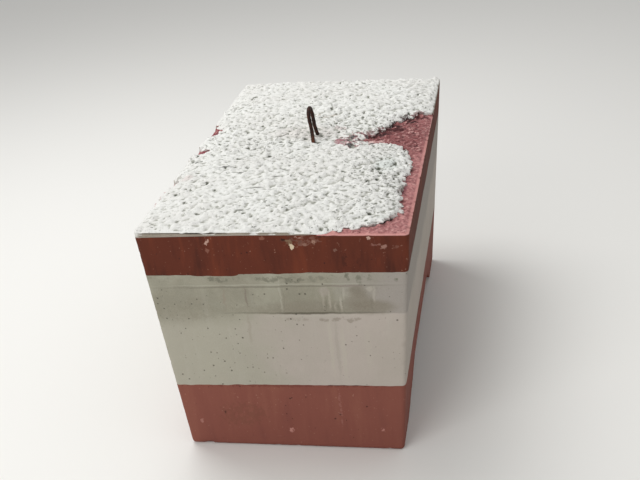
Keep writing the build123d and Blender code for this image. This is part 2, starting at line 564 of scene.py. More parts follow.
# %% Cut along the pour lines
SEAM_REACH = 22 * MM
SEAM_WAVE = 3.2 * MM
SAG_DEPTH = 3.5 * MM
SAG_START = -190 * MM
SAG_END = -84 * MM


def fade(value, low, high):
    """Smooth step from 0 at low to 1 at high."""
    share = min(1.0, max(0.0, (value - low) / (high - low)))
    return share * share * (3 - 2 * share)


def pour_level(across, height):
    """Height of a pour line at a distance across the block."""
    return height + across * TILT


def cap_level(across):
    """Height of the red cap's top at a distance across the block."""
    return RIM + min(0, across - CAP_MEETS_RIM) * TILT


def cut_at(piece, height, keep_above):
    """Keeps the part of a piece above or below a pour line and closes the cut."""
    normal = Vector((-TILT, 0, 1)).normalized()
    with editing(piece):
        bisect_all((0, 0, height), normal, use_fill=True, clear_inner=keep_above, clear_outer=not keep_above)


def wave_seam(piece, height, seed):
    """Shifts what lies near a pour line up or down by the line's own waves."""
    for vertex in piece.data.vertices:
        across, along, up = vertex.co
        off = (up - pour_level(across, height)) / SEAM_REACH
        if abs(off) < 1:
            slow = noise.noise(Vector((across * 9, along * 9, seed)))
            fine = noise.noise(Vector((across * 45, along * 45, seed)))
            sag = fade(across, SAG_START, SAG_START + 16 * MM) - fade(across, SAG_END, SAG_END + 9 * MM)
            sag *= SAG_DEPTH * fade(-along, 0.45, 0.5) * (height > BASE_TOP)
            vertex.co.z += (1 - off * off) * (SEAM_WAVE * (slow + 0.5 * fine) - sag)


def lift(name, bottom, top):
    """One lift of the casting between two pour lines."""
    piece = copy_of(casting, name)
    for height, keep_above in ((bottom, True), (top, False)):
        if height is not None:
            cut_at(piece, height, keep_above)
            wave_seam(piece, height, 10 * height)
    return piece


base_casting = lift("red_base_casting", None, BASE_TOP)
grey_casting = lift("grey_middle_casting", BASE_TOP, CAP_BOTTOM)
cap_casting = lift("red_top_casting", CAP_BOTTOM, None)
heap_cutter = copy_of(heap_body, "heap_cutter")
heap_cutter.scale = (1.01, 1.006, 1)
settle(heap_cutter)
with editing(heap_cutter):
    shift_where(heap_cutter, lambda at: at.z > cap_level(at.x) + 1.5 * MM, (0, 0, 30 * MM))
cut_out(cap_casting, heap_cutter)
with editing(cap_casting):
    bisect_all((0, 0, RIM + 9 * MM), (0, 0, 1), use_fill=True, clear_outer=True)
for piece in (base_casting, grey_casting, cap_casting):
    print(piece.name, len(piece.data.polygons), "faces")

# %% [markdown]
# ## The white heap
#
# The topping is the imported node's body under thrown stones. A remesh gives them one skin of paste, and a
# cutter with the shape of the red cap's top parts it from the cap. Then noise pushes that skin in and out:
# pits where stones fell out, grit, and a ragged shore. Where the mix was drier the pits are deep and many.

# %% Stones over the heap
big_stones = throw_stones(white_carrier, "big_stones", 21 * MM, 8 * MM, 0.4, 0.7, 11)
small_stones = throw_stones(white_carrier, "small_stones", 9.5 * MM, 5.2 * MM, 0.45, 0.7, 12)
# A second body a little lower keeps the edge on the cap sharp when the cutter comes
lower_body = copy_of(heap_body, "lower_body")
lower_body.location.z = -9 * MM
lower_body.scale = (0.998, 0.999, 1)
settle(lower_body)
topping = join([big_stones, small_stones, lower_body, heap_body], "rough_topping_heap")
apply_modifier(topping, "REMESH", mode="VOXEL", voxel_size=VOXEL)
print("topping skin has", len(topping.data.polygons), "faces")

# %% Part the heap from the cap
def cap_cutter():
    """A slab whose top is the red cap's: the pour line left of where it meets the rim, flat right of it."""
    left = -HALF_WIDTH - 20 * MM
    size = (-2 * left, 2 * HALF_LENGTH + 40 * MM, 100 * MM)
    bpy.ops.mesh.primitive_cube_add(size=1, location=(0, 0, RIM - 50 * MM), scale=size)
    slab = settle(bpy.context.object)
    with editing(slab):
        bisect_all((CAP_MEETS_RIM, 0, 0), (1, 0, 0))
        drop = (left - CAP_MEETS_RIM) * TILT
        shift_where(slab, lambda at: at.z > RIM - MM and at.x < left + MM, (0, 0, drop))
    return slab


cut_out(topping, cap_cutter())
print("topping has", len(topping.data.polygons), "faces")

# %% Read and write places
def read_places(piece, name="co"):
    """Places or normals of all vertices as rows of an array."""
    rows = np.empty(len(piece.data.vertices) * 3)
    piece.data.vertices.foreach_get(name, rows)
    return rows.reshape(-1, 3)


def write_places(piece, rows):
    """Moves all vertices to new places."""
    piece.data.vertices.foreach_set("co", rows.reshape(-1))
    piece.data.update()


def smooth_twin(piece, rounds):
    """Places and normals of a copy that has lost its relief."""
    twin = copy_of(piece, "smooth_twin")
    apply_modifier(twin, "SMOOTH", factor=1.0, iterations=rounds)
    places, normals = read_places(twin), read_places(twin, "normal")
    bpy.data.objects.remove(twin)
    return places, normals


# %% Pits and a ragged shore
PIT_DEPTH = 5.5 * MM
LEAST_COVER = 2.5 * MM
TEETH = 13 * MM
CREEP = 4.5 * MM
LUMPY = 7 * MM
CRUMBLY = 3.5 * MM
FOOT_SINKS = 4 * MM
NIBBLE = 7 * MM


def dryness(at):
    """How dry the mix was, from 0 to 1: in patches, in the valley and along the right shore."""
    patches = fade(noise.noise(at * 6.5), -0.2, 0.4)
    valley = 1 - fade(abs(at.y - 40 * MM), 40 * MM, 170 * MM)
    shore = fade(at.x, 60 * MM, 220 * MM) * (1 - fade(at.y, 0.1, 0.3))
    calm = fade(-at.x, -0.05, 0.15) * fade(-at.y, 0.1, 0.3) + fade(at.y, 0.18, 0.36)
    return min(1.0, max(0.0, 0.2 + 0.35 * patches + 0.3 * valley + 0.5 * shore - 0.32 * calm))


def weather_heap(piece):
    """Digs pits into the heap and breaks up its shore, but leaves its underside flat on the cap."""
    places = read_places(piece)
    smooth, normals = smooth_twin(piece, 6)
    relief = ((places - smooth) * normals).sum(axis=1)
    for index, (place, normal) in enumerate(zip(places, normals)):
        at = Vector(place)
        beside, before = HALF_WIDTH - abs(at.x), HALF_LENGTH - abs(at.y)
        away = fade(min(beside, before), 2 * MM, 11 * MM)
        upward = fade(normal[2], 0.1, 0.6)
        dry = dryness(at)
        kept = 0.25 + 0.35 * dry if relief[index] > 0 else 0.35 + 0.65 * dry
        pit = fade(noise.noise(at * 74 + Vector((3, 1, 7))), 0.46 - 0.3 * dry, 0.66)
        grit = noise.noise(at * 150)
        push = ((kept - 1) * relief[index] - PIT_DEPTH * (0.5 + 0.5 * dry) * pit + 0.9 * MM * grit) * upward
        sideways = math.hypot(normal[0], normal[1])
        teeth = CREEP + TEETH * noise.noise(Vector((at.x * 31, at.y * 31, 5)))
        teeth += LUMPY * noise.noise(at * 68) + CRUMBLY * noise.noise(at * 140)
        teeth *= (1 - upward) * fade(sideways, 0.1, 0.4) / max(sideways, 0.4)
        places[index] += (normal * push + normal * (teeth, teeth, 0)) * away
        if normal[2] < 0.1 and at.z < cap_level(at.x) + MM:
            places[index][2] -= FOOT_SINKS * fade(sideways, 0.1, 0.3) * away
        # Crumbs are gone from the heap's rim, not from the face below that lay against the steel
        gone = NIBBLE * fade(noise.noise(at * 46), -0.05, 0.45) * fade(at.z, RIM + MM, RIM + 6 * MM)
        places[index][0] -= math.copysign(gone, at.x) * (1 - fade(beside, 3 * MM, 16 * MM))
        at_end = 1 - fade(before, 3 * MM, 16 * MM)
        places[index][1] -= math.copysign(gone, at.y) * at_end * (1 if at.y > 0 else 0.4)
        places[index][2] -= 0.5 * gone * at_end * (at.y < 0)
        # No pit goes through to the cap
        if normal[2] > 0.1:
            places[index][2] = max(places[index][2], min(at.z, cap_level(at.x) + LEAST_COVER))
    write_places(piece, places)


MOST_TRIANGLES = 196000


def thin_out(piece):
    """Decimates a piece that has more than MOST_TRIANGLES triangles down to that many.
    Keeps a piece under the most triangles it may have.
    """
    triangles = sum(len(face.vertices) - 2 for face in piece.data.polygons)
    if triangles > MOST_TRIANGLES:
        apply_modifier(piece, "DECIMATE", ratio=MOST_TRIANGLES / triangles)
    return piece


thin_out(topping)
weather_heap(topping)
print("pits dug")


# %% Hollows, for painted shade in pits and for pale chips
def store(piece, name, values):
    """Stores a value for each vertex as an attribute."""
    attribute = piece.data.attributes.new(name, "FLOAT", "POINT")
    attribute.data.foreach_set("value", values)


def mark_hollows(piece, rounds, depth):
    """Stores as hollow how far each vertex lies below (1) or above (-1) the smoothed surface."""
    smooth, normals = smooth_twin(piece, rounds)
    sunk = ((smooth - read_places(piece)) * normals).sum(axis=1) / depth
    store(piece, "hollow", np.clip(sunk, -1, 1))
    return float(np.percentile(sunk, 5)), float(np.percentile(sunk, 95))


print("topping hollows", [round(v, 2) for v in mark_hollows(topping, 14, 3 * MM)])
print("cap hollows", [round(v, 2) for v in mark_hollows(cap_casting, 14, 3 * MM)])


LIP = 9 * MM
ROUND_ABOUT = [Vector((x, y, 0)) * LIP for x, y in ((0, 0), (1, 0), (-1, 0), (0, 1), (0, -1))]


def bare_at(at):
    """1 where the cap lies open at a place or close beside it, 0 where the topping covers it."""
    covered = all(white_above(at + step) for step in ROUND_ABOUT)
    return 0.0 if at.z < RIM - 30 * MM or covered else 1.0


store(cap_casting, "bare", [bare_at(vertex.co) for vertex in cap_casting.data.vertices])
store(topping, "dryness", [dryness(vertex.co) for vertex in topping.data.vertices])

# %% [markdown]
# ## The lifting loop
#
# One plain bar. A circle is extruded up the first leg, which is drawn in on its way, spun half a turn round
# the crown and extruded down the second leg. Shaken and thinned where it has rusted, it leans as the packed
# bar does.

# %% Bar bent by extrude and spin
BAR_RADIUS = 5 * MM
LEG_HALF = 50 * MM
CROWN_HALF = 22 * MM
WAIST_RISE = 38 * MM
SPREAD_DEPTH = 30 * MM
LOOP_LEAN = math.radians(7)
LOOP_ACROSS = 9 * MM
LOOP_ALONG = 24 * MM
BAR_SIDES = 20
SUNK = 40 * MM
LEG_STEPS = 24
CROWN_STEPS = 30
crown_height = RIM + 100 * MM - BAR_RADIUS - CROWN_HALF


def leg_offset(height):
    """Distance of a leg from the loop's middle at a height above the rim."""
    share = (WAIST_RISE - height) / (WAIST_RISE + SPREAD_DEPTH)
    return CROWN_HALF + min(1, max(0, share)) * (LEG_HALF - CROWN_HALF)


def bend_bar():
    """The loop, upright in the plane along the block."""
    foot = RIM - SUNK
    near = LOOP_ALONG - leg_offset(-SUNK)
    bpy.ops.mesh.primitive_circle_add(
        vertices=BAR_SIDES, radius=BAR_RADIUS, fill_type="NGON", location=(LOOP_ACROSS, near, foot)
    )
    bar = settle(bpy.context.object)
    step = (crown_height - foot) / LEG_STEPS
    heights = [foot - RIM + step * index for index in range(LEG_STEPS + 1)]
    inward = [leg_offset(below) - leg_offset(above) for below, above in zip(heights, heights[1:])]
    crown = (LOOP_ACROSS, LOOP_ALONG, crown_height)
    with editing(bar):
        for move in inward:
            bpy.ops.mesh.extrude_region_move(TRANSFORM_OT_translate={"value": (0, move, step)})
        bpy.ops.mesh.spin(steps=CROWN_STEPS, angle=math.pi, center=crown, axis=(1, 0, 0))
        for move in reversed(inward):
            bpy.ops.mesh.extrude_region_move(TRANSFORM_OT_translate={"value": (0, move, -step)})
        bpy.ops.mesh.select_all(action="SELECT")
        bpy.ops.mesh.remove_doubles(threshold=0.01 * MM)
        bpy.ops.mesh.normals_make_consistent(inside=False)
    return apply_modifier(bar, "SMOOTH", factor=0.5, iterations=2)


loop = bend_bar()
loop.name = "rusty_lifting_loop"
print("bar", [round(c, 3) for c in loop.bound_box[0]], [round(c, 3) for c in loop.bound_box[6]])

# %% Rust takes its share of the bar
scale_texture = bpy.data.textures.new("rust_scale", "CLOUDS")
scale_texture.noise_scale = 7 * MM
apply_modifier(loop, "SUBSURF", levels=1, render_levels=1)
apply_modifier(loop, "DISPLACE", texture=scale_texture, strength=1.6 * MM, mid_level=0.55)
pivot = Vector((LOOP_ACROSS, 0, RIM))
lean = Matrix.Translation(pivot) @ Matrix.Rotation(-LOOP_LEAN, 4, "Y") @ Matrix.Translation(-pivot)
loop.matrix_world = lean
settle(loop)
print("bar has", len(loop.data.polygons), "faces, top at", round(max(v.co.z for v in loop.data.vertices), 4))

# %% [markdown]
# ## Colours and shared effects
#
# Colours are written as a paint chart gives them, from 0 to 255, and turned into Blender's linear values.
# Effects that several finishes share are node groups with named sockets: pin-holes, grain, blotches, ragged
# places, spots and block coordinates. A small class stands for a node's output, so that a sum of masks
# reads as a sum.

# %% Paint chart
def paint(tint):
    """A colour from 0 to 255 a channel as Blender's linear RGBA."""
    shares = [channel / 255 for channel in tint]
    return (*(share / 12.92 if share <= 0.04045 else ((share + 0.055) / 1.055) ** 2.4 for share in shares), 1)


CAP_RED = (90, 42, 28)
BASE_RED = (128, 75, 64)
BARE_RED = (182, 127, 125)
TOPPING_WHITE = (227, 227, 223)
print("white reads", [round(c, 3) for c in paint(TOPPING_WHITE)])


# %% Outputs that add up
class Wire:
    """A node's output. The signs + - * and the methods lead it into new nodes of the same tree."""

    def __init__(self, node, name=0):
        self.socket = node.outputs[name]
        self.tree = node.id_data

    def maths(self, operation, *others):
        """A Math node with this output as its first value."""
        node = add_node(self.tree, "ShaderNodeMath", operation=operation)
        for value, socket in zip((self, *others), node.inputs):
            plug(value, socket)
        return Wire(node)

    def __add__(self, other):
        return self.maths("ADD", other)

    def __sub__(self, other):
        return self.maths("SUBTRACT", other)

    def __rsub__(self, other):
        return self.maths("MULTIPLY_ADD", -1.0, other)

    def __mul__(self, other):
        return self.maths("MULTIPLY", other)

    def vector(self, operation, other=(0, 0, 0), output="Vector"):
        """A Vector Math node with this output as its first vector."""
        node = add_node(self.tree, "ShaderNodeVectorMath", operation=operation, Vector=self)
        plug(other, node.inputs["Scale" if operation == "SCALE" else 1])
        return Wire(node, output)

    def ramp(self, low, high):
        """Smooth step from 0 at low to 1 at high."""
        node = add_node(self.tree, "ShaderNodeMapRange", interpolation_type="SMOOTHSTEP", Value=self)
        plug(low, node.inputs["From Min"])
        plug(high, node.inputs["From Max"])
        return Wire(node)

    def noise(self, scale, detail=3.0, roughness=0.55, output="Fac"):
        """A noise texture at this place."""
        given = {"Vector": self, "Scale": scale, "Detail": detail, "Roughness": roughness}
        return Wire(add_node(self.tree, "ShaderNodeTexNoise", **given), output)

    def axes(self):
        """The three parts of a place, a normal or a colour."""
        node = add_node(self.tree, "ShaderNodeSeparateXYZ", Vector=self)
        return [Wire(node, axis) for axis in range(3)]


print("wires lead on by", Wire.maths.__name__, Wire.vector.__name__, Wire.ramp.__name__, Wire.noise.__name__)

# %% Making and placing node groups
VECTORS = ("Place", "Normal", "Middle", "Reach", "Level place", "Wall place")


def new_group(name, inputs, outputs):
    """An empty node group and its inputs. The sockets named above are vectors, all others are numbers."""
    tree = bpy.data.node_groups.new(name, "ShaderNodeTree")
    for in_out, sockets in (("INPUT", inputs), ("OUTPUT", outputs)):
        for socket in sockets:
            kind = "NodeSocketVector" if socket in VECTORS else "NodeSocketFloat"
            tree.interface.new_socket(name=socket, in_out=in_out, socket_type=kind)
    start = tree.nodes.new("NodeGroupInput")
    return tree, [Wire(start, socket) for socket in inputs]


def use_group(group, place, **values):
    """Places a group where a place is read; its outputs are found by name."""
    node = add_node(place.tree, "ShaderNodeGroup", node_tree=group, Place=place, **values)
    return {socket.name: Wire(node, socket.name) for socket in node.outputs}


print("vectors among the sockets:", len(VECTORS))

# %% Pin-holes, grain and blotches
HOLE_SIZE = 0.15


def pinholes_group():
    """Small air holes in a wall: one in a share of the cells of a flat pattern, each with its own size."""
    tree, (place, cells, share) = new_group("pinholes", ("Place", "Cells", "Share"), ("Mask",))
    pattern = add_node(tree, "ShaderNodeTexVoronoi", voronoi_dimensions="2D", Vector=place, Scale=cells)
    chance, size, _ = Wire(pattern, "Color").axes()
    size = (size.maths("POWER", 2.5) + 0.35) * HOLE_SIZE
    inside = 1.0 - Wire(pattern, "Distance").maths("DIVIDE", size)
    add_node(tree, "NodeGroupOutput", Mask=inside.ramp(0.0, 0.45) * chance.maths("LESS_THAN", share))
    return tree


def grain_group():
    """Cement grain: a fine speckle for colour and a height for the bump."""
    tree, (place, scale) = new_group("cement_grain", ("Place", "Scale"), ("Speckle", "Height"))
    fine = place.noise(scale, 4.0, 0.7)
    coarse = place.noise(scale * 0.22)
    add_node(tree, "NodeGroupOutput", Speckle=fine.ramp(0.3, 0.7), Height=fine * 0.6 + coarse * 0.4)
    return tree


def blotch_group():
    """Slow clouds of lighter and darker concrete."""
    tree, (place, scale, low, high) = new_group("blotches", ("Place", "Scale", "Low", "High"), ("Mask",))
    warp = place.noise(scale * 0.7, 2.0, 0.5, "Color").vector("SCALE", 0.12)
    add_node(tree, "NodeGroupOutput", Mask=place.vector("ADD", warp).noise(scale, 5.0, 0.6).ramp(low, high))
    return tree


PINHOLES = pinholes_group()
GRAIN = grain_group()
BLOTCHES = blotch_group()
print("groups:", PINHOLES.name, GRAIN.name, BLOTCHES.name)


# %% Soft spots with ragged edges
def ragged_group():
    """A place pushed about by noise: what is drawn with it gets ragged edges."""
    tree, (place, scale, push) = new_group("ragged_place", ("Place", "Scale", "Push"), ("Place",))
    shake = place.noise(scale, 4.0, 0.5, "Color").vector("SUBTRACT", (0.5, 0.5, 0.5))
    add_node(tree, "NodeGroupOutput", Place=place.vector("ADD", shake.vector("SCALE", push * 2.0)))
    return tree


def spot_group():
    """A soft spot: 1 in the core of an ellipsoid, 0 outside it."""
    inputs = ("Place", "Middle", "Reach", "Core")
    tree, (place, centre, reach, core) = new_group("soft_spot", inputs, ("Mask",))
    share = place.vector("SUBTRACT", centre).vector("DIVIDE", reach).vector("LENGTH", output="Value")
    add_node(tree, "NodeGroupOutput", Mask=share.ramp(1.0, core))
    return tree


RAGGED_PLACE = ragged_group()
SPOT = spot_group()


def ragged(place, scale, push):
    """A place for drawing ragged marks."""
    return use_group(RAGGED_PLACE, place, Scale=scale, Push=push)["Place"]


def spot(place, centre, reach, core=0.4):
    """The mask of one soft spot."""
    return use_group(SPOT, place, Middle=centre, Reach=reach, Core=core)["Mask"]


def broken_up(mask, grit, softness=0.07):
    """A mask that noise has broken up: in crumbs at its edge, with gaps in its core."""
    least = mask.maths("MULTIPLY_ADD", -0.2, 0.67 - 0.5 * softness)
    return grit.ramp(least, least + softness) * mask.ramp(0.0, 0.25)


print("spot:", len(SPOT.nodes), "nodes")


# %% Block coordinates
def block_group():
    """Where a point lies on the block: across, along, up, level with the pour lines and flat on walls."""
    outputs = ("Level place", "Wall place", "On wall", "Upward", "Across", "Along", "Height")
    tree, (place, normal) = new_group("block_heights", ("Place", "Normal"), outputs)
    across, along, height = place.axes()
    side, front, up = normal.axes()
    level = add_node(tree, "ShaderNodeCombineXYZ", X=across, Y=along, Z=height - across * TILT)
    on_side = side.maths("ABSOLUTE").maths("GREATER_THAN", front.maths("ABSOLUTE"))
    along_wall = on_side.maths("MULTIPLY_ADD", along - across, across)
    wall = add_node(tree, "ShaderNodeCombineXYZ", X=along_wall, Y=height)
    add_node(
        tree,
        "NodeGroupOutput",
        Level_place=Wire(level),
        Wall_place=Wire(wall),
        On_wall=up.maths("ABSOLUTE").ramp(0.6, 0.3),
        Upward=up.ramp(0.25, 0.7),
        Across=across,
        Along=along,
        Height=height,
    )
    return tree


BLOCK = block_group()


def air_holes(block, cells, share):
    """The mask of the pin-holes, which are on the walls alone."""
    return use_group(PINHOLES, block["Wall place"], Cells=cells, Share=share)["Mask"] * block["On wall"]


def from_rim(block):
    """Distance from the nearest side or end of the rim."""
    beside = HALF_WIDTH - block["Across"].maths("ABSOLUTE")
    before = HALF_LENGTH - block["Along"].maths("ABSOLUTE")
    return beside.maths("MINIMUM", before)


print("block heights:", len(BLOCK.nodes), "nodes")

# %% Start, marks and end of each finish
MARK_DEPTH = 80 * MM


def on_front(across, height, wide, tall):
    """Middle and reach of a mark on the front, from mm across and up: stains and painted shadows alike."""
    centre = (across * MM, -half_length_at(height * MM), (height - across * TILT) * MM)
    return centre, (wide * MM, MARK_DEPTH, tall * MM)


def on_top(across, along, wide, long):
    """Middle and reach of a mark on the top, from mm across and along: stains and painted shadows alike."""
    return (across * MM, along * MM, RIM), (wide * MM, long * MM, MARK_DEPTH)


class Finish:
    """A material under way: its colour so far, and the place and block measures that it reads."""

    def __init__(self, name, colour=None):
        self.material = bpy.data.materials.new(name)
        self.material.use_nodes = True
        self.tree = self.material.node_tree
        self.shader = self.tree.nodes["Principled BSDF"]
        self.shader.inputs["Specular IOR Level"].default_value = 0.25
        self.colour = colour
        self.place = Wire(add_node(self.tree, "ShaderNodeTexCoord"), "Object")
        normal = Wire(add_node(self.tree, "ShaderNodeNewGeometry"), "Normal")
        self.block = use_group(BLOCK, self.place, Normal=normal)

    def attribute(self, name):
        """A value stored on the mesh."""
        return Wire(add_node(self.tree, "ShaderNodeAttribute", attribute_name=name), "Fac")

    def blend(self, share, first, second):
        """Mixes two colours by a share of the second."""
        node = add_node(self.tree, "ShaderNodeMix", data_type="RGBA")
        for value, index in ((share, 0), (first, 6), (second, 7)):
            plug(paint(value) if isinstance(value, tuple) else value, node.inputs[index])
        return Wire(node, 2)

    def coat(self, share, tint):
        """Lays a tint over the colour so far."""
        self.colour = self.blend(share, self.colour, tint)

    def stain_and_shade(self, lie, marks, place, grit=None, softness=0.07):
        """Lays stains and painted shadows on, each with a tint, a strength, two measures of its middle and
        two of its reach.
        """
        for tint, strength, *measures in marks:
            mask = spot(place, *lie(*measures))
            if grit:
                mask = broken_up(mask, grit, softness)
            self.coat(mask * strength, tint)

    def close(self, roughness, height, depth):
        """Plugs the colour, the roughness and a bump of a depth in metres into the shader."""
        bump = add_node(self.tree, "ShaderNodeBump", Height=height, Distance=depth)
        for name, value in (("Base Color", self.colour), ("Roughness", roughness), ("Normal", Wire(bump))):
            plug(value, self.shader.inputs[name])
        return self.material


print("finishes are built by", Finish.__name__)

# %% [markdown]
# ## Red concrete
#
# Both red lifts are stained by their own grit and streaked down the steel. Marks are soft spots in a table,
# so that each can be moved by its numbers.

# %% Marks on the cap
# Tint, strength, then middle across and up and reach across and up in mm
CAP_MARKS = (
    ((128, 92, 80), 0.6, 80, 567, 44, 20),
    ((84, 56, 46), 0.5, 52, 569, 34, 16),
    ((186, 152, 138), 0.85, -137, 566, 7, 16),
    ((140, 96, 82), 0.6, -139, 544, 7, 9),
    ((126, 104, 82), 0.8, 43, 561, 14, 12),
    ((208, 190, 164), 0.95, 49, 552, 8, 10),
    ((40, 18, 13), 0.85, 40, 552, 5, 9),
    ((42, 20, 15), 0.85, 35, 571, 7, 6),
    ((160, 122, 110), 0.8, 64, 575, 11, 7),
    ((158, 122, 106), 0.8, 96, 564, 8, 8),
    ((144, 108, 94), 0.7, 79, 559, 7, 7),
    ((140, 96, 80), 0.6, -14, 573, 10, 7),
    ((192, 160, 146), 0.9, 214, 572, 8, 7),
    ((140, 98, 88), 0.7, 228, 558, 20, 10),
    ((164, 126, 114), 0.7, 245, 551, 12, 8),
    ((120, 82, 70), 0.6, 271, 552, 8, 7),
    ((130, 100, 88), 0.6, 142, 543, 7, 6),
    ((52, 22, 17), 0.7, 122, 577, 24, 5),
    ((60, 28, 20), 0.5, 160, 518, 9, 34),
    ((62, 30, 22), 0.4, 190, 512, 7, 26),
)
# The dark marks near the far shore are painted shadow under the heap's edge; the others are the bare red's
# own marks
BARE_MARKS_AND_SHADOWS = (
    ((226, 214, 208), 0.9, 136, 0, 40, 30),
    ((214, 176, 172), 0.6, 168, 18, 36, 20),
    ((36, 18, 20), 0.9, 128, -16, 26, 24),
    ((40, 18, 20), 0.9, 205, 118, 54, 32),
    ((44, 18, 20), 0.9, 228, 170, 48, 28),
    ((60, 24, 26), 0.8, 262, 190, 50, 22),
    ((72, 30, 32), 0.7, 190, 96, 60, 40),
    ((44, 20, 22), 0.85, 168, 66, 34, 24),
    ((112, 60, 72), 0.7, 262, -290, 16, 60),
    ((128, 62, 70), 0.9, -292, 20, 40, 420),
)
print("cap marks", len(CAP_MARKS) + len(BARE_MARKS_AND_SHADOWS))


# %% Red cast concrete
def red_skin(finish, dark, bright, marks):
    """Red against the steel: upright streaks, pale specks, dusty chips and the front's own marks."""
    place = finish.place
    drawn = place.vector("MULTIPLY", (1, 1, 0.16))
    wide = drawn.noise(22.0, 3.0, 0.6)
    narrow = drawn.noise(75.0, 3.0, 0.6)
    cloud = use_group(BLOTCHES, place, Scale=10.0, Low=0.35, High=0.7)["Mask"]
    grain = use_group(GRAIN, place, Scale=420.0)
    finish.coat(wide.ramp(0.5, 0.7), dark)
    finish.coat(wide.ramp(0.48, 0.3), bright)
    finish.coat(narrow.ramp(0.55, 0.72) * 0.35, dark)
    finish.coat(cloud * 0.22, bright)
    finish.coat(place.noise(170.0, 2.0, 0.5).ramp(0.68, 0.76) * 0.45, (170, 130, 112))
    finish.coat(grain["Speckle"] * 0.1, bright)
    grit = place.noise(120.0, 4.0, 0.65)
    finish.stain_and_shade(on_front, marks, ragged(finish.block["Level place"], 120.0, 4 * MM), grit)
    chips = finish.attribute("hollow").ramp(0.3, 0.7) * 0.6
    finish.coat(chips, finish.blend(0.3, bright, (200, 170, 155)))
    return grain["Height"]


def bare_red(finish):
    """Open red: pale and dark grains, painted shade in pits and gaps, painted light on bumps, a smoother pale
    rim line.
    """
    place, block = finish.place, finish.block
    rough = place.noise(95.0, 4.0, 0.7)
    pale_grit = place.noise(145.0, 3.0, 0.6)
    dark_grit = ragged(place, 90.0, 5 * MM).noise(108.0, 4.0, 0.65)
    sunk = finish.attribute("hollow") + rough.maths("MULTIPLY_ADD", 1.5, -0.75)
    finish.colour = finish.blend(rough.ramp(0.62, 0.4), BARE_RED, (154, 100, 99))
    fresh = spot(place, (0.22, 0.06, RIM), (0.13, 0.22, 0.1))
    finish.coat(fresh * 0.75, (120, 68, 68))
    grainy = fresh.maths("MULTIPLY_ADD", 0.35, 0.4)
    finish.coat(pale_grit.ramp(0.55, 0.64) * grainy, (210, 166, 160))
    finish.coat(dark_grit.ramp(0.52, 0.6) * grainy, (92, 42, 44))
    # Painted shade: near-black specks in the gaps between the grains
    gaps = ragged(place, 140.0, 3 * MM).noise(130.0, 2.0, 0.5)
    finish.coat(gaps.ramp(0.62, 0.67) * grainy, (46, 18, 20))
    # Painted shade in what lies sunk, painted light on what stands up
    finish.coat(sunk.ramp(0.25, 0.7) * 0.75, (62, 28, 29))
    finish.coat(sunk.ramp(-0.35, -0.7) * 0.6, (214, 166, 160))
    to_rim = rough.maths("MULTIPLY_ADD", 8 * MM, from_rim(block))
    on_right = block["Across"].maths("GREATER_THAN", 0.0).maths("MULTIPLY_ADD", 0.4, 0.2)
    near_part = block["Along"].ramp(0.1, 0.0)
    finish.coat(to_rim.ramp(13 * MM, 9 * MM) * (on_right * near_part), (204, 144, 138))
    # The bare red's own marks, and painted shadow along the far shore
    finish.stain_and_shade(on_top, BARE_MARKS_AND_SHADOWS, ragged(place, 70.0, 7 * MM), place.noise(90.0, 3.0, 0.6))
    return rough


def red_concrete(name, side, dark, bright, marks, open_top):
    """Red concrete, with its open top where it has one."""
    finish = Finish(name, side)
    height = red_skin(finish, dark, bright, marks)
    if open_top:
        skin = finish.colour
        rough = bare_red(finish)
        is_open = finish.block["Upward"] * finish.attribute("bare")
        finish.colour = finish.blend(is_open, skin, finish.colour)
        height = (rough * is_open).maths("MULTIPLY_ADD", 5.0, height)
    holes = air_holes(finish.block, 78.0, 0.06)
    # Painted shade darkens the air holes, which are a bump only
    finish.coat(holes * 0.65, (48, 26, 22))
    return finish.close(0.88, height * 0.3 - holes, 1.2 * MM)


print("red concrete is made by", red_concrete.__name__)

# %% [markdown]
# ## Grey concrete
#
# An old water line divides the grey lift into a darker part above and a paler part below. Drips and mottles
# are marks in tables again.

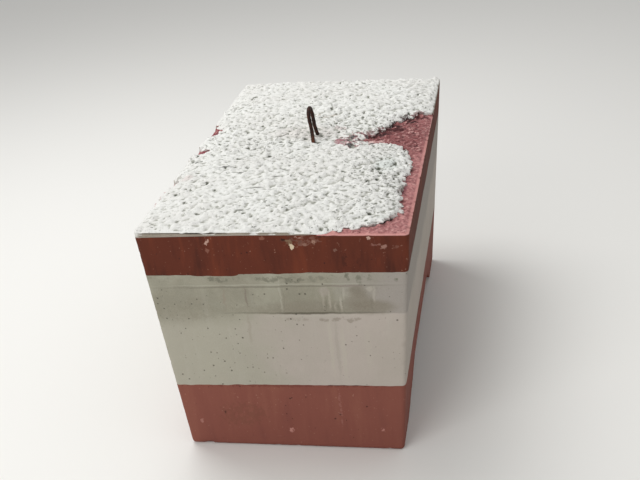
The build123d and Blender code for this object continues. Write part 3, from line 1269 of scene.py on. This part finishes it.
# %% Marks on the grey lift
SEAM_DARK = (110, 105, 92)
SEAM_PALE = (180, 177, 163)
LINE_DARK = (88, 83, 70)
BROWN = (127, 119, 105)
MOTTLE = (104, 103, 88)
DRIP_PALE = (178, 171, 158)
DRIP_DARK = (116, 110, 95)
GREY_LINES = (
    (SEAM_PALE, 0.35, 0, 457.5, 340, 2.2),
    (SEAM_DARK, 0.6, 0, 452, 340, 3.0),
    ((138, 124, 117), 0.5, 160, 455, 60, 3.0),
    (BROWN, 0.4, 80, 389, 200, 10),
    (LINE_DARK, 0.85, 62, 384, 98, 4.0),
    (LINE_DARK, 0.5, 150, 386, 130, 3.6),
    (LINE_DARK, 0.35, -60, 383, 90, 2.6),
    (SEAM_PALE, 0.3, 90, 377.5, 150, 2.6),
)
GREY_MARKS = (
    (BROWN, 0.45, 110, 402, 190, 20),
    (BROWN, 0.7, 182, 442, 28, 22),
    (BROWN, 0.7, 186, 416, 44, 28),
    (BROWN, 0.7, 212, 402, 66, 26),
    ((118, 111, 97), 0.4, 180, 444, 16, 14),
    ((158, 149, 139), 0.6, 108, 441, 15, 17),
    (DRIP_PALE, 0.45, 208, 449, 8, 8),
    (DRIP_PALE, 0.4, 217, 436, 3.4, 26),
    (DRIP_DARK, 0.35, 212, 408, 3.4, 30),
    (DRIP_PALE, 0.4, 151, 436, 4.4, 20),
    (DRIP_PALE, 0.5, 143, 406, 3.6, 30),
    (DRIP_PALE, 0.3, 130, 400, 3, 17),
    (DRIP_PALE, 0.4, 118, 418, 3.4, 32),
    (DRIP_PALE, 0.25, 104, 424, 4, 34),
    (DRIP_DARK, 0.45, 111, 406, 3, 24),
    (DRIP_DARK, 0.35, 124, 397, 3, 15),
    (DRIP_DARK, 0.5, 137, 395, 3, 16),
    (DRIP_PALE, 0.6, 112, 290, 6, 110),
    (DRIP_PALE, 0.55, 139, 276, 7, 110),
    (DRIP_PALE, 0.25, 153, 344, 4, 34),
    ((150, 143, 132), 0.3, 126, 286, 6, 110),
    (DRIP_PALE, 0.3, 196, 290, 9, 90),
    ((142, 128, 114), 0.5, -118, 421, 3.4, 36),
    ((122, 109, 98), 0.65, -68, 423, 3.8, 38),
    ((140, 130, 116), 0.3, -70, 340, 5, 50),
    (SEAM_PALE, 0.3, 10, 420, 3, 74),
    (DRIP_DARK, 0.3, 16, 424, 2.6, 50),
    ((134, 128, 112), 0.4, -200, 392, 3.4, 44),
)
GREY_MOTTLES = (
    (MOTTLE, 0.75, -128, 469, 46, 11),
    (MOTTLE, 0.7, -10, 471, 44, 11),
    (MOTTLE, 0.75, 44, 470, 34, 12),
    (MOTTLE, 0.5, 90, 472, 40, 10),
    (MOTTLE, 0.8, 163, 477, 7, 18),
    (MOTTLE, 0.75, 187, 469, 14, 18),
    (MOTTLE, 0.55, 209, 475, 10, 14),
    (MOTTLE, 0.8, 267, 470, 6, 6),
    ((138, 129, 117), 0.7, 102, 367, 17, 9),
    ((138, 129, 117), 0.7, 128, 367, 14, 9),
    ((138, 129, 117), 0.7, 163, 369, 28, 10),
    ((140, 131, 119), 0.6, 40, 367, 44, 8),
    ((134, 129, 113), 0.5, -70, 392, 110, 14),
    ((134, 129, 113), 0.4, -210, 372, 80, 16),
)
print("grey marks", len(GREY_LINES) + len(GREY_MARKS) + len(GREY_MOTTLES))


# %% Grey cast concrete
def streaks(place):
    """Run-off streaks: noise drawn out down the wall, broken up along their length."""
    marks = place.vector("MULTIPLY", (1, 1, 0.055)).noise(48.0, 3.0, 0.6).ramp(0.5, 0.8)
    return marks * place.noise(9.0, 2.0).ramp(0.38, 0.62)


def grey_concrete():
    """Grey concrete: darker above the old water line, green to the left, pinkish to the right, with drips."""
    finish = Finish("grey_concrete")
    place, block = finish.place, finish.block
    level_place = block["Level place"]
    fine = ragged(level_place, 45.0, 2.2 * MM)
    rough = ragged(level_place, 60.0, 7 * MM)
    soft_level = ragged(level_place, 9.0, 34 * MM).axes()[2]
    cloud = use_group(BLOTCHES, place, Scale=7.0, Low=0.35, High=0.68)["Mask"]
    grain = use_group(GRAIN, place, Scale=380.0)
    sideways = place.noise(11.0, 4.0, 0.6)
    right = sideways.maths("MULTIPLY_ADD", 0.3, block["Across"]).ramp(0.02, 0.2)
    lower = finish.blend(right, (165, 161, 146), (176, 166, 157))
    lower = finish.blend(cloud * 0.35, lower, (158, 152, 140))
    upper = finish.blend(cloud, (154, 151, 135), (136, 131, 115))
    upper = finish.blend(place.noise(24.0, 4.0, 0.6).ramp(0.42, 0.62) * 0.4, upper, (132, 129, 114))
    to_corner = sideways.maths("MULTIPLY_ADD", 0.2, block["Across"]).ramp(0.2, 0.36)
    upper = finish.blend(to_corner, upper, (152, 145, 138))
    beside_line = spot(place, (0.12, -HALF_LENGTH, 0.4), (0.25, 0.3, 0.3), 0.5)
    soft = soft_level.ramp(0.34, 0.392)
    sharp = fine.axes()[2].ramp(0.379, 0.383)
    finish.colour = finish.blend(beside_line * (sharp - soft) + soft, lower, upper)
    finish.coat(streaks(place) * 0.25, (180, 176, 165))
    mottle = place.noise(60.0, 4.0, 0.7).ramp(0.56, 0.66)
    finish.coat(soft_level.ramp(0.462, 0.476) * mottle * 0.35, MOTTLE)
    finish.stain_and_shade(on_front, GREY_MARKS, rough)
    finish.stain_and_shade(on_front, GREY_MOTTLES, rough, place.noise(85.0, 5.0, 0.7), 0.2)
    finish.stain_and_shade(on_front, GREY_LINES, fine)
    finish.coat(grain["Speckle"] * 0.12, (196, 192, 180))
    holes = air_holes(block, 76.0, right.maths("MULTIPLY_ADD", -0.14, 0.25))
    # Painted shade darkens the air holes, which are a bump only
    finish.coat(holes * 0.7, (78, 75, 62))
    return finish.close(0.86, grain["Height"] * 0.25 - holes, 1.2 * MM)


print("grey concrete is made by", grey_concrete.__name__)

# %% [markdown]
# ## White topping and rusty bar
#
# The topping's pits, darkened by painted shade, and its dry patches come from the values stored on its mesh.
# Its upright edge lay against the steel and has a colour of its own.

# %% Marks on the topping and the base
TOPPING_EDGE = (222, 222, 216)
TOPPING_MARKS = (
    ((206, 178, 178), 0.5, 66, 92, 26, 16),
    ((206, 197, 191), 0.45, -20, 60, 130, 70),
    ((176, 182, 174), 0.4, 236, -478, 20, 12),
    ((200, 212, 206), 0.4, 215, -190, 40, 70),
    ((204, 188, 184), 0.5, -255, -262, 26, 22),
    ((176, 168, 154), 0.8, 34, 182, 30, 6),
    ((168, 158, 142), 0.8, 2, 206, 18, 7),
    ((168, 158, 142), 0.8, -8, 188, 5, 20),
    ((188, 180, 168), 0.6, 14, 168, 22, 5),
)
RUBBLE_MARKS = (
    ((170, 122, 124), 0.7, -289, -290, 14, 44),
    ((132, 66, 74), 0.85, -290, -294, 15, 28),
    ((178, 136, 136), 0.6, -296, -362, 6, 66),
    ((134, 130, 120), 0.5, -285, -240, 12, 14),
    ((90, 92, 82), 0.8, -270, -146, 30, 16),
    ((176, 152, 148), 0.7, -284, 88, 20, 30),
)
# Painted shadows in narrow slits across the heap
SLIT_SHADOWS = (
    ((70, 70, 62), 0.9, -180, -203, 26, 6),
    ((66, 66, 58), 0.9, -160, -217, 20, 6),
    ((74, 74, 66), 0.9, -132, -240, 26, 6),
    ((92, 92, 82), 0.8, -26, -230, 24, 6),
    ((92, 92, 82), 0.8, -30, -267, 24, 6),
    ((100, 100, 90), 0.8, -72, -335, 28, 6),
    ((86, 88, 78), 0.8, -73, -453, 22, 7),
)
# Painted shadow at the foot of the far shore, dark red to nearly black, where the heap's edge stands over the
# bare red
SHORE_SHADOWS = (
    ((106, 46, 48), 0.8, 186, 88, 40, 34),
    ((48, 20, 22), 0.9, 212, 130, 34, 34),
    ((60, 26, 28), 0.9, 236, 172, 30, 26),
    ((112, 54, 54), 0.8, 270, 202, 40, 26),
    ((112, 56, 58), 0.7, 154, 58, 36, 30),
)
BASE_MARKS = (
    ((182, 130, 120), 0.8, -4, 52, 9, 12),
    ((176, 124, 114), 0.8, 212, 64, 8, 11),
    ((164, 116, 106), 0.7, -224, 71, 8, 8),
    ((58, 32, 28), 0.9, -161, 101, 4.5, 5),
    ((66, 38, 34), 0.8, 3, 148, 7, 5),
    ((112, 70, 56), 0.4, -118, 97, 90, 54),
    ((150, 102, 92), 0.5, 118, 115, 5, 80),
    ((104, 54, 48), 0.5, 0, 183, 360, 7),
)
# Along the topping's front edge: a painted shadow line under the white crumbs, a paler line below it and the
# white corner lip
EDGE_SHADOW_AND_MARKS = (
    ((56, 48, 40), 0.95, -150, 583, 80, 4.0),
    ((96, 88, 76), 0.8, -240, 581, 80, 3.4),
    ((120, 112, 98), 0.7, 0, 587, 110, 3.0),
    ((182, 172, 160), 0.5, -40, 579, 90, 3.4),
    (TOPPING_EDGE, 0.9, -298, 578, 14, 14),
)
print("topping and base marks", len(TOPPING_MARKS) + len(BASE_MARKS) + len(EDGE_SHADOW_AND_MARKS))


# %% White topping
def white_topping():
    """White paste over stones: dusty tops, slightly green painted shade in pits and gaps, and a smooth grey
    edge.
    """
    finish = Finish("white_topping", TOPPING_WHITE)
    place, block = finish.place, finish.block
    grain = use_group(GRAIN, place, Scale=300.0)
    cloud = use_group(BLOTCHES, place, Scale=8.0, Low=0.35, High=0.7)["Mask"]
    crumbs = place.noise(120.0, 4.0, 0.65)
    dry = finish.attribute("dryness")
    sunk = finish.attribute("hollow") + crumbs.maths("MULTIPLY_ADD", 0.8, -0.4)
    finish.coat(cloud * 0.5, (214, 211, 206))
    finish.coat(crumbs.ramp(0.5, 0.3), (208, 209, 202))
    finish.stain_and_shade(on_top, TOPPING_MARKS, ragged(place, 60.0, 8 * MM))
    # Red rubble at the tip of the bare tongue
    bits = ragged(place, 90.0, 4 * MM).noise(58.0, 3.0, 0.6)
    rubble = spot(place, (0.125, 0.0, RIM), (0.095, 0.085, 0.1), 0.55)
    level = rubble.maths("MULTIPLY_ADD", 0.4, bits - 0.4)
    for least, tint in ((0.47, (184, 138, 138)), (0.51, (110, 54, 58)), (0.55, (38, 22, 24))):
        finish.coat(level.ramp(least, least + 0.02), tint)
    stone = spot(ragged(place, 60.0, 4 * MM), (0.079, -0.008, RIM), (0.022, 0.022, 0.1), 0.7)
    finish.coat(stone * 0.85, (160, 104, 112))
    finish.coat(grain["Speckle"] * 0.2, (240, 240, 236))
    # Painted shade: the hollows darken to a slightly green grey
    finish.coat(sunk.ramp(0.02, 0.5), (170, 170, 161))
    finish.coat(sunk.ramp(0.35, 0.85), (98, 101, 91))
    # Painted shade: dark dots and gaps between the stones, more of them where the mix was drier
    least = dry.maths("MULTIPLY_ADD", -0.07, 0.66)
    dots = place.noise(92.0, 3.0, 0.6).ramp(least, least + 0.05)
    finish.coat(dots * 0.75, (124, 126, 115))
    least = dry.maths("MULTIPLY_ADD", -0.08, 0.7)
    gaps = ragged(place, 140.0, 3 * MM).noise(170.0, 2.0, 0.5).ramp(least, least + 0.04)
    finish.coat(gaps * 0.6, (130, 128, 118))
    grit = place.noise(95.0, 3.0, 0.6)
    thin = ragged(place, 80.0, 3 * MM)
    # Painted shadows in the slits, then the red rubble's own colour
    finish.stain_and_shade(on_top, SLIT_SHADOWS, thin)
    finish.stain_and_shade(on_top, RUBBLE_MARKS, thin, grit)
    # The shore's foot is dirty
    upright = 1.0 - block["Upward"]
    dip = (block["Across"] - CAP_MEETS_RIM).maths("MINIMUM", 0.0) * TILT
    over_cap = block["Height"] - RIM - dip
    finish.coat(broken_up(over_cap.ramp(14 * MM, 1 * MM) * upright, grit, 0.12) * 0.6, (150, 126, 120))
    # Painted shadow at the shore's foot, deepest where the bare red runs in under the far heap
    unshaded_heap = finish.colour
    finish.stain_and_shade(on_top, SHORE_SHADOWS, thin, grit)
    finish.colour = finish.blend(over_cap.ramp(22 * MM, 12 * MM), unshaded_heap, finish.colour)
    # The upright edge lay against the steel; a painted shadow line runs along its top under the crumbs
    heap = finish.colour
    finish.colour = finish.blend(cloud, (160, 150, 138), (146, 138, 125))
    finish.stain_and_shade(on_front, EDGE_SHADOW_AND_MARKS, ragged(place, 60.0, 2 * MM))
    at_steel = from_rim(block).ramp(5 * MM, 2 * MM)
    finish.colour = finish.blend(upright * at_steel, heap, finish.colour)
    return finish.close(0.9, grain["Height"] + crumbs - (gaps + dots) * 0.6, 2.2 * MM)


print("the topping is made by", white_topping.__name__)


# %% Rusty bar, and all finishes by node
def rusty_bar():
    """Nearly black mill scale with brown and a little orange rust."""
    finish = Finish("rusty_bar", (30, 18, 15))
    scale = finish.place.noise(120.0, 5.0, 0.65)
    finish.coat(scale.ramp(0.35, 0.65), (64, 34, 23))
    finish.coat(finish.place.noise(60.0, 4.0, 0.6).ramp(0.56, 0.7) * 0.5, (112, 60, 34))
    return finish.close(scale.ramp(-0.6, 1.2), scale, 0.8 * MM)


finishes = {
    "red_base_lift": red_concrete(
        "base_red_concrete", BASE_RED, (121, 70, 61), (133, 81, 68), BASE_MARKS, False
    ),
    "grey_middle_lift": grey_concrete(),
    "red_top_lift": red_concrete("cap_red_concrete", CAP_RED, (68, 32, 23), (108, 51, 32), CAP_MARKS, True),
    "rough_topping": white_topping(),
    "lifting_loop": rusty_bar(),
}
print("finishes:", sorted(finishes))

# %% [markdown]
# ## Dress the frame
#
# Every piece rides on the one body, stands for its CAD node and takes that node's finish.

# %% Ride, replace and paint
SMOOTH_ANGLE = math.radians(50)


def dress(piece, node):
    """Gives a finished piece its shading, finish and place in the frame."""
    only(piece)
    bpy.ops.object.shade_smooth_by_angle(angle=SMOOTH_ANGLE)
    piece.data.materials.clear()
    piece.data.materials.append(finishes[node])
    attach(piece, "root")
    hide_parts(node)


pieces = {
    "red_base_lift": base_casting,
    "grey_middle_lift": grey_casting,
    "red_top_lift": cap_casting,
    "rough_topping": topping,
    "lifting_loop": loop,
}
for node, piece in pieces.items():
    dress(piece, node)
for leftover in [casting, biter, white_carrier, bare_carrier, *list(stone_box.objects)]:
    bpy.data.objects.remove(leftover)
bpy.data.collections.remove(stone_box)
print("pieces:", [piece.name for piece in pieces.values()])

# %% [markdown]
# ## Floor, light and camera
#
# A flat pale floor, a big soft lamp overhead and an even world, so that colours render about as they are
# painted. The camera stands where the photographer stood and is only turned to look at the block.

# %% Floor
FLOOR_COLOUR = paint((236, 235, 231))


def sweep_floor():
    """A flat pale floor under the block."""
    bpy.ops.mesh.primitive_plane_add(size=14)
    floor = settle(bpy.context.object)
    floor.name = "studio_floor"
    paper = bpy.data.materials.new("studio_paper")
    paper.use_nodes = True
    paper.node_tree.nodes["Principled BSDF"].inputs["Base Color"].default_value = FLOOR_COLOUR
    paper.node_tree.nodes["Principled BSDF"].inputs["Roughness"].default_value = 0.9
    floor.data.materials.append(paper)
    return floor


sweep_floor()
world = bpy.data.worlds.new("studio_world")
bpy.context.scene.world = world
world.use_nodes = True
world.node_tree.nodes["Background"].inputs["Color"].default_value = (1, 1, 1, 1)
world.node_tree.nodes["Background"].inputs["Strength"].default_value = 0.5


# %% Lamps
def area_lamp(name, place, target, size, power):
    """A square soft lamp that faces a point."""
    data = bpy.data.lights.new(name, "AREA")
    data.size = size
    data.energy = power
    lamp = bpy.data.objects.new(name, data)
    lamp.location = place
    lamp.rotation_mode = "QUATERNION"
    lamp.rotation_quaternion = (Vector(target) - Vector(place)).to_track_quat("-Z", "Y")
    bpy.context.collection.objects.link(lamp)
    return lamp


area_lamp("overhead_softbox", (-1.2, 0.8, 3.6), (0, 0, 0.4), 2.2, 76)
area_lamp("front_softbox", (-1.6, -3.6, 2.4), (0, 0, 0.3), 2.6, 66)

# %% Camera where the photographer stood
CAMERA_PLACE = Vector((0.5027, -2.4288, 1.475))
PHOTO_YAW = math.radians(0.29)
PHOTO_PITCH = math.radians(16.62)
PHOTO_ROLL = math.radians(-0.90)
LOOK_AT = Vector((0, 0, 0.31))
LENS = 57

camera_data = bpy.data.cameras.new("camera")
camera_data.lens = LENS
camera_data.sensor_width = 36
camera = bpy.data.objects.new("camera", camera_data)
bpy.context.collection.objects.link(camera)
photo_gaze = Vector((
    math.sin(PHOTO_YAW) * math.cos(PHOTO_PITCH),
    math.cos(PHOTO_YAW) * math.cos(PHOTO_PITCH),
    -math.sin(PHOTO_PITCH),
))
unrolled = photo_gaze.to_track_quat("-Z", "Y")
rolled = unrolled @ Quaternion((0, 0, 1), PHOTO_ROLL)
turned = photo_gaze.rotation_difference((LOOK_AT - CAMERA_PLACE).normalized())
camera.rotation_mode = "QUATERNION"
camera.rotation_quaternion = turned @ rolled
camera.location = CAMERA_PLACE
bpy.context.scene.camera = camera
bpy.context.scene.view_settings.view_transform = "Standard"
print("camera looks", [round(c, 3) for c in (turned @ photo_gaze)])
